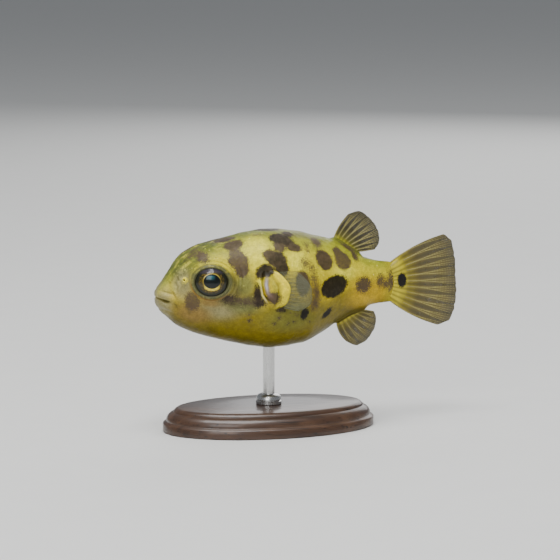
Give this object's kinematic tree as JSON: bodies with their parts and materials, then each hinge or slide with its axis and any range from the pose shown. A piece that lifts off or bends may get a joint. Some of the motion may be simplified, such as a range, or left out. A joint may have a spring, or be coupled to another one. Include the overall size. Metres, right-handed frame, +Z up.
{
  "type": "freshwater pufferfish",
  "caption": "Life-size still model of a dwarf freshwater pufferfish, plump and spotted, with spread fins, held level over an oval base by a thin rod.",
  "frame": {"origin": "centre of the stand base's underside, on the surface that the model stands on", "axes": "the fish looks along -X, its tail points along +X, its left side faces -Y, and +Z is up"},
  "size_m": [0.029, 0.0144, 0.0198],
  "materials": {
    "spotted_skin": "moist yellow-green skin with dark brown blotches, satin",
    "fin_membrane": "thin translucent olive membrane over pale rays",
    "eye": "wet, glossy, dark with a gold ring round the pupil",
    "dark_wood": "dark stained hardwood, satin",
    "brushed_steel": "fine brushed"
  },
  "bodies": {
    "root": {"upper_jaw": "spotted_skin", "lower_jaw": "spotted_skin", "head": "spotted_skin", "trunk": "spotted_skin", "tail_stalk": "spotted_skin", "nostril_left": "spotted_skin", "nostril_right": "spotted_skin", "eye_left": "eye", "eye_right": "eye", "dorsal_fin": "fin_membrane", "anal_fin": "fin_membrane", "tail_fin": "fin_membrane", "pectoral_fin_left": "fin_membrane", "pectoral_fin_right": "fin_membrane", "stand_base": "dark_wood", "stand_rod": "brushed_steel", "stand_collar": "brushed_steel"}
  },
  "joints": []
}
